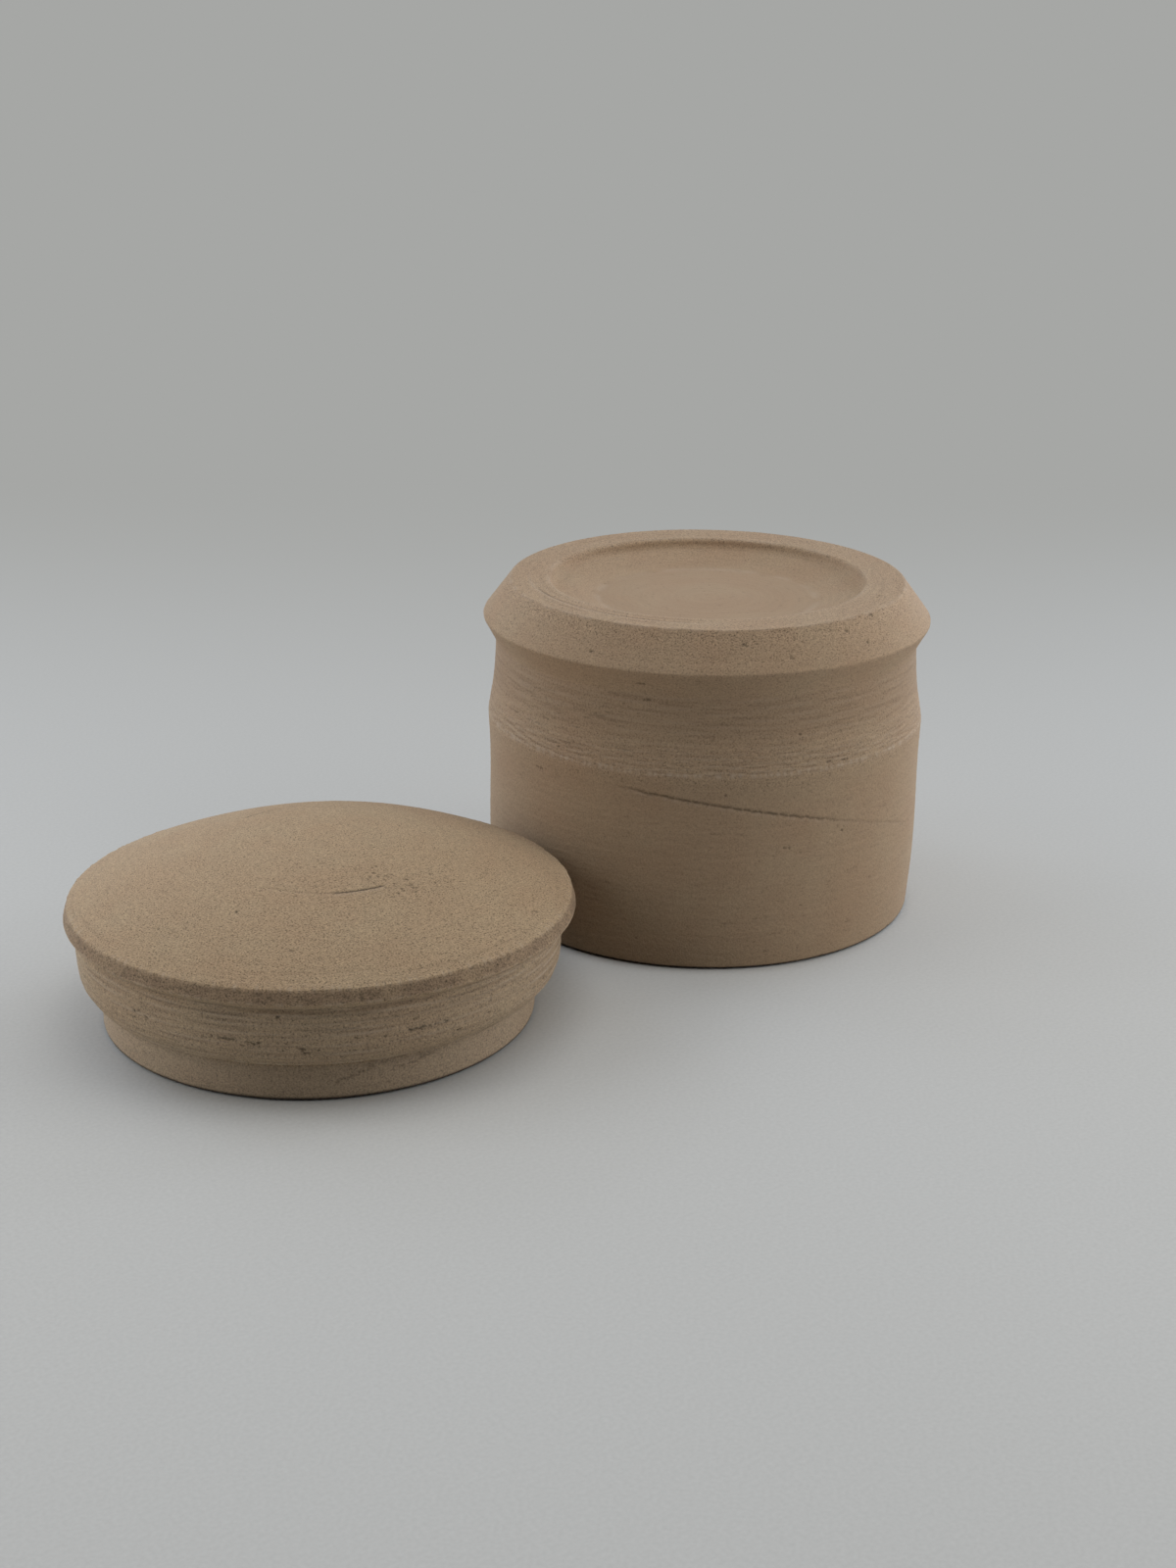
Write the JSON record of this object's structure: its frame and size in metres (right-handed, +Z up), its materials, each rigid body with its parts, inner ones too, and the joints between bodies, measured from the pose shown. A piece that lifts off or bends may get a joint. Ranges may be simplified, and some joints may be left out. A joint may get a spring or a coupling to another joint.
{
  "type": "lidded box",
  "caption": "Round turned stoneware box shown apart: the body stands upside down on its mouth, with its foot up, beside its domed lid, whose plug fits the mouth.",
  "frame": {"origin": "on the standing surface, midway between the two ends of the pair", "axes": "+X from the lid to the body, through both turning axes; +Z up, along both turning axes"},
  "size_m": [0.2064, 0.104, 0.0748],
  "materials": {
    "body_stoneware": "unglazed, dry and matte, warm buff brown with turning lines and sandy grit",
    "lid_stoneware": "unglazed, dry and matte, warm buff brown with turning lines and sandy grit"
  },
  "bodies": {
    "box_body": {"box_body": "body_stoneware"},
    "lid": {"lid": "lid_stoneware"}
  },
  "joints": [
    {"name": "lid_lift", "type": "slide", "parent": "box_body", "child": "lid", "axis": [0, 0, 1], "range_m": [0, 0.1]}
  ]
}
